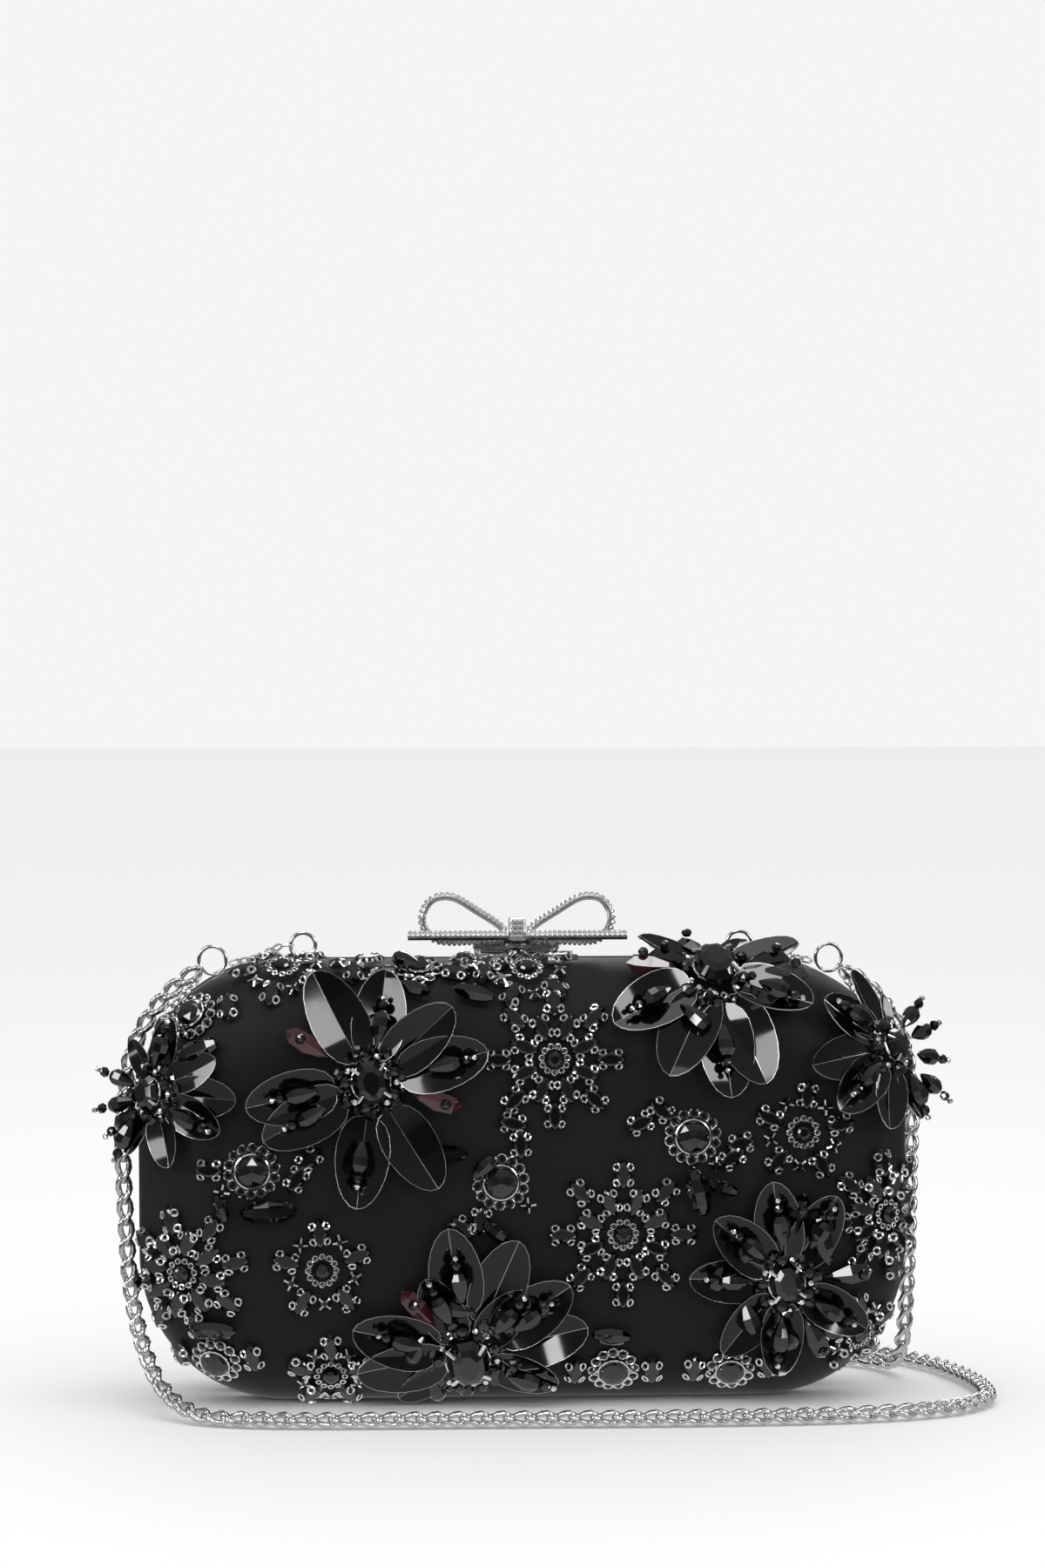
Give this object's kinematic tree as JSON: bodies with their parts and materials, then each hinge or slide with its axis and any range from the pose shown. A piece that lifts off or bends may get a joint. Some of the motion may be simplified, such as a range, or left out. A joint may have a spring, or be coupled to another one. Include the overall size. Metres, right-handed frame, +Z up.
{
  "type": "evening bag",
  "caption": "Hard box clutch in black satin with crystal flower motifs on the front, a silver bow clasp, base hinges and a chain strap.",
  "frame": {"origin": "on the flat base the bag stands on, midway across, under the front half's band and 5 mm in front of the parting plane", "axes": "+X to the right seen from the front, -Y towards the embroidered front, +Z up"},
  "size_m": [0.2284, 0.1388, 0.1312],
  "materials": {
    "satin": "soft satin weave",
    "shell_board": "moulded board, hidden",
    "lining": "ribbed lining silk",
    "silver": "polished silver plate",
    "steel": "plain steel",
    "paillette": "glossy jet paillettes and beads",
    "crystal": "cut jet stones in silver settings"
  },
  "bodies": {
    "front_half": {"front_cover": "satin", "front_shell": "shell_board", "front_lining": "lining", "front_frame": "silver", "hinge_leaf_front_left": "steel", "hinge_leaf_front_right": "steel", "hinge_pin_left": "steel", "hinge_pin_right": "steel", "clasp_base": "silver", "clasp_pin": "steel", "clasp_spring": "steel", "clasp_rivet_left": "steel", "clasp_rivet_right": "steel", "ring_lug_left": "silver", "ring_lug_right": "silver", "strap_end_left": "silver", "strap_end_right": "silver", "strap_chain": "silver", "flower_upper_left": "paillette", "flower_top_right": "paillette", "flower_bottom_centre": "paillette", "flower_lower_right": "paillette", "flower_left_edge": "paillette", "flower_right_edge": "paillette", "star_upper_centre": "crystal", "star_centre": "crystal", "star_left_edge": "crystal", "star_right_edge": "crystal", "starlet_left": "crystal", "starlet_right": "crystal", "starlet_top_left": "crystal", "starlet_top_centre": "crystal", "starlet_bottom_left": "crystal", "starlet_right_corner": "crystal", "cluster_left": "crystal", "cluster_centre": "crystal", "cluster_right": "crystal", "cluster_left_corner": "crystal", "cluster_bottom_centre": "crystal", "cluster_bottom_right": "crystal", "cluster_top": "crystal", "cluster_shoulder": "crystal"},
    "back_half": {"back_cover": "satin", "back_shell": "shell_board", "back_lining": "lining", "back_frame": "silver", "slip_pocket": "lining", "hinge_leaf_back_left": "steel", "hinge_leaf_back_right": "steel", "strike_plate": "silver"},
    "clasp": {"clasp_lever": "silver", "bow_loop_left": "silver", "bow_loop_right": "silver", "bow_tail_left": "silver", "bow_tail_right": "silver", "bow_knot": "silver"},
    "ring_left": {"frame_ring_left": "silver"},
    "ring_right": {"frame_ring_right": "silver"}
  },
  "joints": [
    {"name": "lid_open", "type": "hinge", "parent": "front_half", "child": "back_half", "pos_m": [0, 0.005, 0.0023], "axis": [-1, 0, 0], "range_deg": [0, 45]},
    {"name": "clasp_lift", "type": "hinge", "parent": "front_half", "child": "clasp", "pos_m": [-0.0015, 0.00295, 0.1173], "axis": [1, 0, 0], "range_deg": [0, 15], "stiffness_Nm_per_rad": 0.03, "springref_deg": -5.73},
    {"name": "ring_left_swing", "type": "hinge", "parent": "front_half", "child": "ring_left", "pos_m": [-0.057, 0.00305, 0.1145], "axis": [1, 0, 0], "range_deg": [-10, 10]},
    {"name": "ring_right_swing", "type": "hinge", "parent": "front_half", "child": "ring_right", "pos_m": [0.057, 0.00305, 0.1145], "axis": [1, 0, 0], "range_deg": [-10, 10]}
  ]
}
